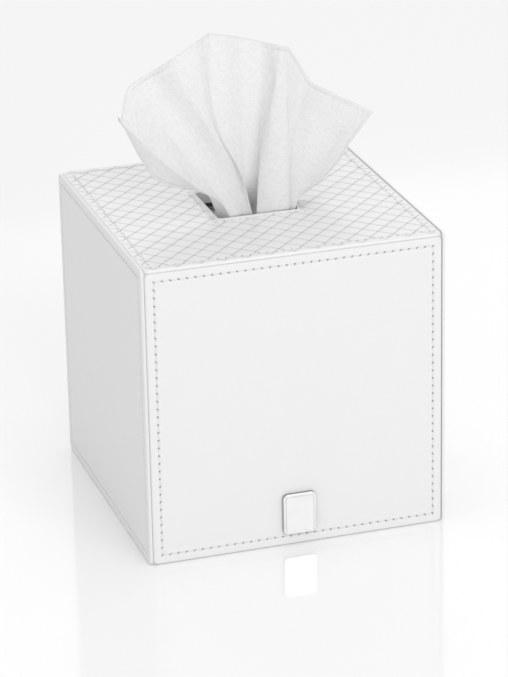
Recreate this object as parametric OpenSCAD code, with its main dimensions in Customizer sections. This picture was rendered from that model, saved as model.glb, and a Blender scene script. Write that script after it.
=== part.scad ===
// Cube-shaped tissue box cover in white stitched leatherette.
// Fibreboard walls carry glued leatherette panels; the embossed top panel has a square
// opening, and a tissue is pulled through it from the carton that the cover slips over.
// Origin: middle of the footprint, on the surface that the cover stands on. Front is -Y, up is +Z.

/* [Cover] */
// Width of the finished cover
cover_w = 135; // [115:1:200]
// Depth of the finished cover
cover_d = 135; // [115:1:200]
// Height of the finished cover
cover_h = 135; // [90:1:220]
// Thickness of the fibreboard walls
board_t = 4; // [2.5:0.5:6]

/* [Leatherette panels] */
// Thickness of a glued leatherette panel
skin_t = 1.4; // [1:0.1:2.4]
// Radius of the rounded outer edges of a panel
edge_r = 1.1; // [0.4:0.1:1.8]
// Radius of a panel's corners, seen from the front
panel_corner_r = 2.5; // [1.5:0.5:5]
// Open seam between neighbouring panels
seam_gap = 0.2; // [0.1:0.1:0.6]

/* [Stitching] */
// Distance from a panel's edge to its row of stitches
stitch_inset = 4.1; // [3:0.1:7]
// Length from one needle hole to the next
stitch_pitch = 3.6; // [2.4:0.1:6]
// Diameter of the sewing thread
thread_d = 0.7; // [0.5:0.05:0.9]
// Open length at each needle hole
needle_gap = 0.9; // [0.8:0.1:1.4]
// Width of the channel that the thread has pressed into the leatherette
channel_w = 1; // [0.9:0.05:1.4]
// Depth of that channel
channel_d = 0.45; // [0.2:0.05:0.6]

/* [Embossed lattice] */
// Length of a diamond from corner to corner
diamond = 10.2; // [7:0.1:16]
// Width of the sharp creases, which run to the back right
crease_w = 0.7; // [0.4:0.1:1.2]
// Depth of the sharp creases
crease_d = 0.35; // [0.15:0.05:0.5]
// Width of the soft valleys, which run to the front right
valley_w = 1.8; // [1:0.1:2.6]
// Depth of the soft valleys
valley_d = 0.3; // [0.15:0.05:0.5]

/* [Opening] */
// Clear width and depth of the square opening
opening_w = 36; // [30:1:56]
// Radius of the opening's corners
opening_corner_r = 1.4; // [1:0.2:4]
// Thickness of the leatherette turned down through the opening
sleeve_t = 1; // [0.6:0.1:1.6]
// Radius of the bead around the opening
bead_r = 0.6; // [0.4:0.1:0.9]
// How far the bead stands above the top
bead_rise = 0.4; // [0.2:0.1:0.6]
// Distance from the opening to its own row of stitches
opening_stitch_inset = 2.2; // [1.9:0.1:4]

/* [Badge] */
// Width of the badge
badge_w = 15; // [10:0.5:24]
// Height of the badge
badge_h = 19; // [12:0.5:30]
// Radius of the badge's corners
badge_corner_r = 2.2; // [1.8:0.1:4]
// Thickness of the badge's plate
badge_t = 1.6; // [1:0.1:2.4]
// Width of the plate's raised border
badge_border = 1.2; // [0.8:0.1:1.6]
// Depth of the enamel in its recess
enamel_t = 0.5; // [0.3:0.05:0.7]
// How far the enamel lies below the border
enamel_sink = 0.15; // [0.05:0.05:0.25]
// Height of the badge's lower edge above the table
badge_z = 5.4; // [5:0.1:40]
// Diameter of the badge's two pins
badge_pin_d = 1.5; // [1:0.1:2]
// Length of the pins behind the plate
badge_pin_l = 4; // [2.5:0.1:4.6]
// Distance between the two pins
badge_pin_pitch = 10; // [7:0.5:11]

/* [Tissue carton] */
// Free space between the carton and the walls around it
carton_clear = 3.1; // [1:0.1:3.6]
// Free space between the carton and the top board
carton_head = 3.6; // [1:0.1:3.8]
// Thickness of the carton board
card_t = 0.6; // [0.4:0.1:1]
// Length of the carton's mouth
mouth_w = 74; // [58:1:90]
// Width of the carton's mouth
mouth_d = 46; // [42:1:60]
// Radius of the mouth's corners
mouth_r = 20; // [8:1:20]
// Thickness of the film glued under the mouth
film_t = 0.2; // [0.1:0.05:0.3]
// Width of the film's glued border
film_border = 10; // [6:1:12]
// Length of the slit in the film
slit_l = 50; // [46:1:56]
// Width that the slit opens to around the tissue
slit_w = 18; // [16:1:24]
// Free space around the stack of folded tissues
stack_clear = 0.4; // [0.2:0.1:1]
// Free space between the stack and the film
stack_head = 1; // [0.6:0.1:3]

/* [Pulled tissue] */
// Height of the tissue's peak above the top of the cover
tissue_rise = 79; // [60:1:95]
// Thickness of the pulled tissue as a closed solid
tissue_t = 0.8; // [0.5:0.1:1]
// Free space between the tissue and the opening's edge
tissue_clear = 0.3; // [0.2:0.1:1]
// Free space between the tissue's lower end and the stack
tissue_lift = 0.25; // [0.1:0.05:0.5]

/* [Hidden] */
$fn = 64;
THREAD_FACETS = 20;
BEAD_FACETS = 32;
SLIT_FACETS = 180;
SOME = 1;                                        // how far a cutter reaches past a face
skin_side = skin_t + seam_gap;                   // room that a side panel and its seam take
carcase_w = cover_w - 2 * skin_t;                // outer width of the boards
carcase_d = cover_d - 2 * skin_t;
carcase_h = cover_h - skin_t;
wall_h = carcase_h - board_t;                    // height of the four walls under the top board
room_w = carcase_w - 2 * board_t;                // inner width, where the carton stands
room_d = carcase_d - 2 * board_t;
between_w = cover_w - 2 * skin_side;             // width of the panels between the side panels
front_h = cover_h - skin_side;                   // height of the front and back panels
sleeve_in = opening_w + 2 * bead_overhang();     // inner width of the turned-down leatherette
sleeve_out = sleeve_in + 2 * sleeve_t;
sleeve_r = opening_corner_r + bead_overhang();
stitch_ring = opening_w + 2 * opening_stitch_inset;
thread_rise = thread_d / 2 - channel_d;          // height of a thread's axis over the face
carton_w = room_w - 2 * carton_clear;
carton_d = room_d - 2 * carton_clear;
carton_h = wall_h - carton_head;
film_z = carton_h - card_t - film_t;             // underside of the film
stack_top = film_z - stack_head;
badge_mid = badge_z + badge_h / 2;

// Places of the panels: how far each is turned from the front
FRONT = 0;
RIGHT = 90;
BACK = 180;
LEFT = 270;

// Fold lines of the pulled tissue from its left edge to its right edge. Each row has the place
// in the opening as shares of its clear half width, then the line's middle and its end on the
// upper edge, from the middle of the opening and up from the top of the cover. These two are in
// millimetres for the peak height that the last column holds, and scale with tissue_rise.
FOLDS = [
    [-0.55, -0.45, -38,  -4, 13, -56,  2, 45],   // side edge of the sheet
    [-0.72, -0.84, -35, -10, 23, -57, -4, 48],   // ridge above the rolled edge
    [-0.60, -0.95, -32, -11, 30, -53, -2, 58],   // left corner
    [-0.42, -0.93, -21,  -6, 33, -32,  4, 66],   // shallow valley in the left wing
    [-0.16, -0.95, -12, -13, 34, -16, -4, 79],   // sharp edge of the left column, to the peak
    [-0.24, -0.36,  -1,   4, 32,  -1,  6, 73],   // back of the pocket between the columns
    [ 0.26, -0.32,   8,   5, 30,  11,  8, 69],   // back of the pocket, right
    [-0.03, -0.95,   4, -11, 31,  16,  2, 69],   // left side of the right column
    [ 0.80, -0.95,  15, -15, 35,  19, -6, 70],   // crease of the right column
    [ 0.70, -0.55,  21,  -4, 27,  29,  8, 58],   // valley behind the crease
    [ 0.90, -0.86,  19, -14, 28,  29, -6, 53],   // ridge of the right wing
    [ 0.95, -0.66,  31,  -9, 22,  45,  2, 42],   // middle of the right wing
    [ 0.97, -0.45,  41,  -5, 16,  59,  0, 34]    // right tip
];
fold_scale = tissue_rise / max([for (row = FOLDS) row[7]]);
STEPS_ACROSS = 5;                                // surface steps between two fold lines
STEPS_UP = 11;                                   // surface steps above the opening
STEPS_DOWN = 4;                                  // surface steps below it, down to the stack
PINCH_X = 0.85;                                  // how much narrower the tissue is in the slit
PINCH_Y = 0.33;                                  // how much flatter it is there
PINCH_MID = -8.5;                                // middle of its folds in the opening, along Y
ROUND = 0.6;                                     // 1 for rounded folds, 0 for sharp ones

// The turned-down leatherette stands back behind the bead by a third of the bead's radius
function bead_overhang() = bead_r / 3;

// Flat outline with round corners, as squares and circles
module rounded(w, d, r) {
    square([w - 2 * r, d], center = true);
    square([w, d - 2 * r], center = true);
    for (x = [-1, 1], y = [-1, 1])
        translate([x * (w / 2 - r), y * (d / 2 - r)]) circle(r);
}

// Section of a panel: flat underneath, with its two upper corners rounded
module panel_section(w) {
    translate([-w / 2, 0]) square([w, skin_t - edge_r]);
    translate([-w / 2 + edge_r, 0]) square([w - 2 * edge_r, skin_t]);
    intersection() {
        for (x = [-1, 1]) translate([x * (w / 2 - edge_r), skin_t - edge_r]) circle(edge_r);
        translate([-w / 2, 0]) square([w, skin_t]);
    }
}

// Leatherette panel lying on its back: rounded along all four edges, middle at the origin
module panel(w, h) {
    intersection() {
        translate([0, h / 2, 0]) rotate([90, 0, 0]) linear_extrude(h) panel_section(w);
        translate([-w / 2, 0, 0]) rotate([90, 0, 90]) linear_extrude(w) panel_section(h);
        linear_extrude(skin_t) rounded(w, h, panel_corner_r);
    }
}

// Square ring of a given width, for the channels that the stitches lie in
module channel(w, h) {
    translate([0, 0, skin_t - channel_d]) linear_extrude(channel_d + SOME) difference() {
        square([w + channel_w, h + channel_w], center = true);
        square([w - channel_w, h - channel_w], center = true);
    }
}

// One straight row of stitches, centred, along X
module stitch_row(length) {
    count = round(length / stitch_pitch);
    step = length / count;
    for (i = [0 : count - 1])
        translate([-length / 2 + i * step + needle_gap / 2, 0, 0])
            rotate([0, 90, 0]) cylinder(d = thread_d, h = step - needle_gap, $fn = THREAD_FACETS);
}

// Rows of stitches around a rectangle, on a panel that lies on its back
module stitch_ring(w, h) {
    translate([0, 0, skin_t + thread_rise]) {
        for (y = [-1, 1]) translate([0, y * h / 2, 0]) stitch_row(w);
        for (x = [-1, 1]) translate([x * w / 2, 0, 0]) rotate(90) stitch_row(h);
    }
}

// Stands a panel up on one side of the cover; reach is the distance to the panel's back
module on_side(turn, reach, h) {
    rotate(turn) translate([0, -reach, h / 2]) rotate([90, 0, 0]) children();
}

// Lays a panel on the top board
module on_top() {
    translate([0, 0, carcase_h]) children();
}

// Plain panel with its stitching channel
module stitched_panel(w, h) {
    difference() {
        panel(w, h);
        channel(w - 2 * stitch_inset, h - 2 * stitch_inset);
    }
}

module panel_stitches(w, h) {
    stitch_ring(w - 2 * stitch_inset, h - 2 * stitch_inset);
}

// One family of parallel grooves at 45 degrees, each a long wedge
module grooves(turn, w, d, length) {
    reach = ceil((between_w + cover_d) / diamond / 2);
    for (i = [-reach : reach])
        rotate(turn) translate([-length / 2, (i + 0.5) * diamond * sqrt(0.5), skin_t])
            rotate([90, 0, 90]) linear_extrude(length) polygon([[-w / 2, 0], [0, -d], [w / 2, 0]]);
}

// Bead around the opening: four rods with quarter rings at the corners
module bead() {
    side = opening_w / 2 + bead_r;
    bend = opening_corner_r + bead_r;
    straight = 2 * (side - bend);
    translate([0, 0, skin_t + bead_rise - bead_r]) for (turn = [0, 90, 180, 270]) rotate(turn) {
        translate([-straight / 2, -side, 0]) rotate([0, 90, 0])
            cylinder(r = bead_r, h = straight, $fn = BEAD_FACETS);
        translate([side - bend, side - bend, 0])
            rotate_extrude(angle = 90, $fn = BEAD_FACETS) translate([bend, 0]) circle(bead_r);
    }
}

// Walls of the carcase
module side_board() {
    cube([board_t, carcase_d, wall_h], center = true);
}

module end_board() {
    cube([room_w, board_t, wall_h], center = true);
}

module left_board() {
    color("burlywood") translate([-(carcase_w - board_t) / 2, 0, wall_h / 2]) side_board();
}

module right_board() {
    color("burlywood") translate([(carcase_w - board_t) / 2, 0, wall_h / 2]) side_board();
}

module badge_pins(d, l) {
    for (z = [-1, 1])
        translate([0, -carcase_d / 2 - skin_t, badge_mid + z * badge_pin_pitch / 2])
            rotate([-90, 0, 0]) cylinder(d = d, h = l);
}

module front_board() {
    color("tan") difference() {
        translate([0, -(carcase_d - board_t) / 2, wall_h / 2]) end_board();
        badge_pins(badge_pin_d, badge_pin_l);
    }
}

module back_board() {
    color("tan") translate([0, (carcase_d - board_t) / 2, wall_h / 2]) end_board();
}

module top_board() {
    color("peru") translate([0, 0, wall_h]) linear_extrude(board_t) difference() {
        square([carcase_w, carcase_d], center = true);
        rounded(sleeve_out, sleeve_out, sleeve_r + sleeve_t);
    }
}

// Leatherette panels
module left_cover() {
    color("white") on_side(LEFT, carcase_w / 2, cover_h) stitched_panel(cover_d, cover_h);
}

module right_cover() {
    color("white") on_side(RIGHT, carcase_w / 2, cover_h) stitched_panel(cover_d, cover_h);
}

module front_cover() {
    color("ghostwhite") difference() {
        on_side(FRONT, carcase_d / 2, front_h) stitched_panel(between_w, front_h);
        badge_pins(badge_pin_d, badge_pin_l);
    }
}

module back_cover() {
    color("ghostwhite") on_side(BACK, carcase_d / 2, front_h) stitched_panel(between_w, front_h);
}

module top_cover() {
    long = between_w + cover_d;
    color("snow") on_top() {
        difference() {
            stitched_panel(between_w, cover_d);
            channel(stitch_ring, stitch_ring);
            grooves(45, crease_w, crease_d, long);
            grooves(-45, valley_w, valley_d, long);
            translate([0, 0, -SOME]) linear_extrude(skin_t + 2 * SOME)
                rounded(sleeve_in, sleeve_in, sleeve_r);
        }
        bead();
        translate([0, 0, -board_t]) linear_extrude(board_t + skin_t) difference() {
            rounded(sleeve_out, sleeve_out, sleeve_r + sleeve_t);
            rounded(sleeve_in, sleeve_in, sleeve_r);
        }
    }
}

// Stitching, one node for each panel
module left_stitching() {
    color("silver") on_side(LEFT, carcase_w / 2, cover_h) panel_stitches(cover_d, cover_h);
}

module right_stitching() {
    color("silver") on_side(RIGHT, carcase_w / 2, cover_h) panel_stitches(cover_d, cover_h);
}

module front_stitching() {
    color("silver") on_side(FRONT, carcase_d / 2, front_h) panel_stitches(between_w, front_h);
}

module back_stitching() {
    color("silver") on_side(BACK, carcase_d / 2, front_h) panel_stitches(between_w, front_h);
}

module top_stitching() {
    color("silver") on_top() panel_stitches(between_w, cover_d);
}

module opening_stitching() {
    color("silver") on_top() stitch_ring(stitch_ring, stitch_ring);
}

// Badge: a plate with a raised border and two pins, and the enamel in its recess
module on_front() {
    translate([0, -cover_d / 2, badge_mid]) rotate([90, 0, 0]) children();
}

module badge_recess(t) {
    linear_extrude(t)
        rounded(badge_w - 2 * badge_border, badge_h - 2 * badge_border, badge_corner_r - badge_border);
}

module badge_plate() {
    color("gainsboro") {
        on_front() difference() {
            linear_extrude(badge_t) rounded(badge_w, badge_h, badge_corner_r);
            translate([0, 0, badge_t - enamel_t - enamel_sink]) badge_recess(badge_t);
        }
        badge_pins(badge_pin_d, badge_pin_l);
    }
}

module badge_enamel() {
    color("white") on_front() translate([0, 0, badge_t - enamel_t - enamel_sink]) badge_recess(enamel_t);
}

// Carton of tissues inside the cover
module tissue_carton() {
    color("lightsteelblue") difference() {
        translate([0, 0, carton_h / 2]) cube([carton_w, carton_d, carton_h], center = true);
        translate([0, 0, carton_h / 2])
            cube([carton_w - 2 * card_t, carton_d - 2 * card_t, carton_h - 2 * card_t], center = true);
        translate([0, 0, carton_h - card_t - SOME]) linear_extrude(card_t + 2 * SOME)
            rounded(mouth_w, mouth_d, mouth_r);
    }
}

// Film under the carton's mouth, with the slit held open as two arcs
module carton_film() {
    arc_r = (pow(slit_l / 2, 2) + pow(slit_w / 2, 2)) / slit_w;
    color("lightcyan") translate([0, 0, film_z]) linear_extrude(film_t) difference() {
        square([mouth_w + 2 * film_border, mouth_d + 2 * film_border], center = true);
        intersection() {
            translate([0, arc_r - slit_w / 2]) circle(arc_r, $fn = SLIT_FACETS);
            translate([0, slit_w / 2 - arc_r]) circle(arc_r, $fn = SLIT_FACETS);
        }
    }
}

module tissue_stack() {
    wide = carton_w - 2 * card_t - 2 * stack_clear;
    deep = carton_d - 2 * card_t - 2 * stack_clear;
    color("whitesmoke") translate([-wide / 2, -deep / 2, card_t]) cube([wide, deep, stack_top - card_t]);
}

// Pulled tissue: a sheet that fans out of the opening along its fold lines.
// A point of a fold line at height share v, from 0 in the opening to 1 on the upper edge,
// is the quadratic curve through its three given points.
function clear_half() = opening_w / 2 - tissue_clear - tissue_t / 2;
function base_of(row) = [row[0] * clear_half(), row[1] * clear_half(), 0];
function middle_of(row) = fold_scale * [row[2], row[3], row[4]];
function top_of(row) = fold_scale * [row[5], row[6], row[7]];
function fold_point(row, v) =
    base_of(row) * (1 - v) * (1 - 2 * v) + middle_of(row) * 4 * v * (1 - v) + top_of(row) * v * (2 * v - 1);
// Below the opening the folds draw together towards the slit, at share s from 0 to 1
function drop() = cover_h - stack_top - tissue_lift;
function slit_point(row, s) =
    let (b = base_of(row))
    [b[0] * (1 - s * (1 - PINCH_X)), b[1] * (1 - s) + (b[1] - PINCH_MID) * PINCH_Y * s, -drop() * s];
function line_point(row, level) =
    level < 0 ? slit_point(row, -level / STEPS_DOWN) : fold_point(row, level / STEPS_UP);
// Curve from fold line b to fold line c at share t; ROUND says how round it passes each of them
function smooth(a, b, c, d, t) =
    b * (1 - 3 * t * t + 2 * t * t * t) + c * (3 * t * t - 2 * t * t * t)
    + ROUND / 2 * ((c - a) * (t - 2 * t * t + t * t * t) + (d - b) * (t * t * t - t * t));
function row_at(i) = FOLDS[max(0, min(len(FOLDS) - 1, i))];
function sheet_point(step, level) =
    let (i = min(floor(step / STEPS_ACROSS), len(FOLDS) - 2), t = step / STEPS_ACROSS - i)
    smooth(line_point(row_at(i - 1), level), line_point(row_at(i), level),
           line_point(row_at(i + 1), level), line_point(row_at(i + 2), level), t);
function across() = (len(FOLDS) - 1) * STEPS_ACROSS;
function clip(k, low, high) = max(low, min(high, k));
function sheet_normal(step, level) =
    let (along = sheet_point(clip(step + 1, 0, across()), level)
               - sheet_point(clip(step - 1, 0, across()), level),
         up = sheet_point(step, clip(level + 1, -STEPS_DOWN, STEPS_UP))
            - sheet_point(step, clip(level - 1, -STEPS_DOWN, STEPS_UP)),
         n = cross(along, up))
    n / norm(n);
function level_normal(step, level) =
    let (n = sheet_normal(step, level), flat = [n[0], n[1], 0])
    level <= 0 ? flat / norm(flat) : n;

module pulled_tissue() {
    columns = across() + 1;
    rows = STEPS_UP + STEPS_DOWN + 1;
    half = columns * rows;
    points = [for (side = [-1, 1], r = [0 : rows - 1], c = [0 : columns - 1])
        sheet_point(c, r - STEPS_DOWN) + side * tissue_t / 2 * level_normal(c, r - STEPS_DOWN)];
    quads = [for (r = [0 : rows - 2], c = [0 : columns - 2])
        [r * columns + c, (r + 1) * columns + c, (r + 1) * columns + c + 1, r * columns + c + 1]];
    // Closed loop of grid points around the sheet, which the narrow rim faces join
    loop = concat([for (c = [0 : columns - 2]) c],
                  [for (r = [0 : rows - 2]) r * columns + columns - 1],
                  [for (c = [columns - 1 : -1 : 1]) (rows - 1) * columns + c],
                  [for (r = [rows - 1 : -1 : 1]) r * columns]);
    near = [for (q = quads) each [[q[0], q[2], q[1]], [q[0], q[3], q[2]]]];
    far = [for (q = quads)
        each [[q[0] + half, q[1] + half, q[2] + half], [q[0] + half, q[2] + half, q[3] + half]]];
    rim = [for (i = [0 : len(loop) - 1]) let (a = loop[i], b = loop[(i + 1) % len(loop)])
        each [[a, b + half, b], [a, a + half, b + half]]];
    color("white") translate([0, 0, cover_h])
        polyhedron(points = points, faces = concat(near, far, rim));
}

left_board();
right_board();
front_board();
back_board();
top_board();
left_cover();
right_cover();
front_cover();
back_cover();
top_cover();
left_stitching();
right_stitching();
front_stitching();
back_stitching();
top_stitching();
opening_stitching();
badge_plate();
badge_enamel();
tissue_carton();
carton_film();
tissue_stack();
pulled_tissue();
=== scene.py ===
"""Tissue box cover in white stitched leatherette, with a tissue pulled up from its carton.

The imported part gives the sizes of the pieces. Lengths in the classes below are millimetres, as in
the part's source, and become metres when a mesh is made. X is to the right seen from the front,
the front faces -Y, up is +Z, and the cover stands on the plane z = 0.
"""
import logging
import math
from dataclasses import dataclass, field
from enum import Enum

import bpy
import numpy as np
from mathutils import Matrix, Vector


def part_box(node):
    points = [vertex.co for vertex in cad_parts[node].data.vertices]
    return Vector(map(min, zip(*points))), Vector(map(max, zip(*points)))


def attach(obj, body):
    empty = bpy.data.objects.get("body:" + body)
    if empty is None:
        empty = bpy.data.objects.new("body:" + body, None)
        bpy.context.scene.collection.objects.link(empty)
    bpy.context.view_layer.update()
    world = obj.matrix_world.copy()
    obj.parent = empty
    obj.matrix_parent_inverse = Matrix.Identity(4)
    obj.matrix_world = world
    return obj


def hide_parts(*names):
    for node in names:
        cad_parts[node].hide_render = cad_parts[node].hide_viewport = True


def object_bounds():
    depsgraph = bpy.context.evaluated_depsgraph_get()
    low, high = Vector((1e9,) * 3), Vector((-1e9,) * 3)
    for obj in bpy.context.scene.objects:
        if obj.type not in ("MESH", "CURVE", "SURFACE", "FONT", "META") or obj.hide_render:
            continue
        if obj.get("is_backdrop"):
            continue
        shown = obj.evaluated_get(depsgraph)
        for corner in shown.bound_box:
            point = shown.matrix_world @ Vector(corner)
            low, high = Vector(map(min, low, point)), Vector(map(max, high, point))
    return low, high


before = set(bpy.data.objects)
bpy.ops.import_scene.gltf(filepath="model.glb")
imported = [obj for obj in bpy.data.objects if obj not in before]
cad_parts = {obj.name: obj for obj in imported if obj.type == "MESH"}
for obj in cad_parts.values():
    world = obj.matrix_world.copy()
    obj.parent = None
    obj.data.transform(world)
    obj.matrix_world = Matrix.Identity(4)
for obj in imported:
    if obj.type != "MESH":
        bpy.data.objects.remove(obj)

CAD_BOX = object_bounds()
LOG = logging.getLogger("tissue_box")
MM = 0.001
BODY = "root"
SKIN_T = 1.4
OPENING_W = 36.0
BEAD_R = 0.6

Array = np.ndarray
Colour = tuple[float, float, float]
Place = tuple[float, float, float]
Socket = bpy.types.NodeSocket

UPRIGHT = np.array([[1, 0, 0], [0, 0, -1], [0, 1, 0]])
ROOT_HALF = math.sqrt(0.5)


class Side(Enum):
    """The faces of the cover that carry a panel, by how far each is turned from the front."""

    FRONT = 0
    RIGHT = 90
    BACK = 180
    LEFT = 270


def node_box(name: str) -> tuple[Array, Array]:
    """Gives the lowest and highest corner of a node of the part, in millimetres."""
    low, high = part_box(name)
    return np.array(low) / MM, np.array(high) / MM


def turn_z(degrees: float) -> Array:
    """Gives the matrix that turns points about Z, used as point @ matrix.T."""
    c, s = math.cos(math.radians(degrees)), math.sin(math.radians(degrees))
    return np.array([[c, -s, 0], [s, c, 0], [0, 0, 1]])


def bell(distance: Array, width: float) -> Array:
    """Gives a smooth hump: 1 at distance 0, and exp of minus the squared distance over width."""
    return np.exp(-(distance / width) ** 2)


def hermite(a: Array, b: Array, slope_a: Array, slope_b: Array, t: Array) -> Array:
    """Gives the cubic curve from a to b with these slopes at its ends, at shares t from 0 to 1."""
    turn = 3 * t ** 2 - 2 * t ** 3
    return a * (1 - turn) + b * turn + slope_a * (t - 2 * t ** 2 + t ** 3) + slope_b * (t ** 3 - t ** 2)


# Surfaces

@dataclass
class Surface:
    """Points and faces of one shell, with numbers that its material reads at each point.

    Attributes:
        points: array of shape (n, 3), in millimetres.
        faces: arrays of point indices, each of shape (m, 3) or (m, 4).
        marks: named arrays of n numbers from 0 to 1.
        uv: array of shape (n, 2) in metres along the piece, or None.
    """

    points: Array
    faces: list[Array]
    marks: dict[str, Array] = field(default_factory=dict)
    uv: Array | None = None

    def joined(self, *others: "Surface") -> "Surface":
        """Gives one surface that holds this one and the others, which have the same marks."""
        parts = (self, *others)
        starts = np.cumsum([0] + [len(part.points) for part in parts])
        faces = [f + start for part, start in zip(parts, starts) for f in part.faces]
        marks = {name: np.concatenate([part.marks[name] for part in parts]) for name in self.marks}
        uv = None if self.uv is None else np.concatenate([part.uv for part in parts])
        return Surface(np.concatenate([part.points for part in parts]), faces, marks, uv)

    def moved(self, shift: Place, matrix: Array = np.eye(3)) -> "Surface":
        """Gives this surface turned by a matrix, used as point @ matrix.T, and then shifted."""
        return Surface(self.points @ matrix.T + np.array(shift), self.faces, self.marks, self.uv)

    def trimmed(self) -> "Surface":
        """Gives this surface, which has no uv, without the points that no face uses."""
        used = np.unique(np.concatenate([f.ravel() for f in self.faces]))
        renumber = np.zeros(len(self.points), int)
        renumber[used] = np.arange(len(used))
        marks = {name: values[used] for name, values in self.marks.items()}
        return Surface(self.points[used], [renumber[f] for f in self.faces], marks)


def grid_faces(rows: int, columns: int, wrap: bool = False) -> Array:
    """Gives the quads of a grid of points stored row after row.

    Args:
        rows, columns: number of rows, and of points in a row.
        wrap: whether each row is a closed loop.

    Returns:
        Array of shape (m, 4), turning left seen with the columns to the right and the rows upwards.
    """
    across = np.arange(columns if wrap else columns - 1)
    beside = (across + 1) % columns
    up = np.arange(rows - 1)[:, None]
    quads = np.stack([up * columns + across, up * columns + beside,
                      (up + 1) * columns + beside, (up + 1) * columns + across], -1)
    return quads.reshape(-1, 4)


def fan_faces(loop: Array, middle: int) -> Array:
    """Gives the triangles from each step of a closed loop of points to one middle point."""
    return np.stack([loop, np.roll(loop, -1), np.full_like(loop, middle)], -1)


def band_faces(lower: Array, upper: Array) -> Array:
    """Gives the quads between two closed loops with the same number of points."""
    return np.stack([lower, np.roll(lower, -1), np.roll(upper, -1), upper], -1)


def loop_bridge(outer: Array, inner: Array) -> Array:
    """Gives triangles that join two closed loops with different numbers of points.

    Point k of the outer loop faces the inner point at the same share of its loop. Each outer step
    makes one triangle with it, and each step that the inner loop takes makes one more.

    Args:
        outer: indices of the outer loop, which has at least as many points as the inner one.
        inner: indices of the inner loop, starting at the same corner and going the same way.

    Returns:
        Array of shape (m, 3), turning as the outer loop does.
    """
    n, m = len(outer), len(inner)
    near = np.round(np.arange(n + 1) * m / n).astype(int)
    here, ahead = near[:-1] % m, near[1:] % m
    after = np.roll(outer, -1)
    step = here != ahead
    return np.concatenate([np.stack([outer, after, inner[here]], -1),
                           np.stack([after[step], inner[ahead[step]], inner[here[step]]], -1)])


def capped(rings: Array, bottom: Place, top: Place) -> Surface:
    """Closes a stack of loops of points with a fan of triangles at both ends.

    Args:
        rings: points of shape (rows, columns, 3), each row turning left seen from the last one.
        bottom, top: the middle points of the first and the last row.

    Returns:
        The closed surface, with those two points last.
    """
    rows, columns = rings.shape[:2]
    points = rings.reshape(-1, 3)
    loop = np.arange(columns)
    faces = [grid_faces(rows, columns, wrap=True), fan_faces(loop[::-1], len(points)),
             fan_faces(loop + (rows - 1) * columns, len(points) + 1)]
    return Surface(np.concatenate([points, [bottom, top]]), faces)


def rounded_corners(x: Array, y: Array, half_w: Array, half_h: Array, radius: Array
                    ) -> tuple[Array, Array]:
    """Moves points of sharp-cornered rectangles onto the same rectangles with round corners.

    A point that lies within one radius of a corner, along its side, goes to the quarter circle
    there: the length to the corner becomes an angle from 0 to 45 degrees on that side's half.

    Args:
        x, y: the points, each on its own rectangle.
        half_w, half_h: half the width and height of each point's rectangle.
        radius: corner radius of each point's rectangle, 0 for a sharp corner.

    Returns:
        The moved x and y.
    """
    safe = np.maximum(radius, 1e-9)
    ax, ay = np.abs(x), np.abs(y)
    on_level = half_h - ay < half_w - ax
    run = np.where(on_level, ax - (half_w - safe), ay - (half_h - safe))
    angle = np.clip(run / safe, 0, 1) * np.pi / 4
    along, inward = safe * np.sin(angle), safe * (np.cos(angle) - 1)
    new_x = np.where(on_level, half_w - safe + along, half_w + inward)
    new_y = np.where(on_level, half_h + inward, half_h - safe + along)
    bent = (run > 0) & (radius > 1e-6)
    return np.where(bent, np.sign(x) * new_x, x), np.where(bent, np.sign(y) * new_y, y)


def rounded_loop(half_w: float, half_h: float, radius: float, per_side: int, per_corner: int
                 ) -> tuple[Array, Array]:
    """Points of a rectangle with round corners, turning left from the left end of its lower side.

    Args:
        half_w, half_h, radius: half its width, half its height, and its corner radius.
        per_side, per_corner: points on each straight side, and steps in each quarter circle.

    Returns:
        The points of shape (n, 2), and the outward direction at each.
    """
    angle = np.linspace(0, np.pi / 2, per_corner + 1)[1:-1]
    bend = np.stack([np.sin(angle), -np.cos(angle)], -1)
    quarters = []
    for quarter, (along, out) in enumerate([(half_w, half_h), (half_h, half_w)] * 2):
        straight = np.linspace(radius - along, along - radius, per_side)
        side = np.column_stack([straight, np.full(per_side, -out)])
        place = np.concatenate([side, np.array([along - radius, radius - out]) + radius * bend])
        normal = np.concatenate([np.tile([0.0, -1.0], (per_side, 1)), bend])
        quarters.append(np.stack([place, normal]) @ turn_z(90 * quarter)[:2, :2].T)
    points, normals = np.concatenate(quarters, 1)
    return points, normals


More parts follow.
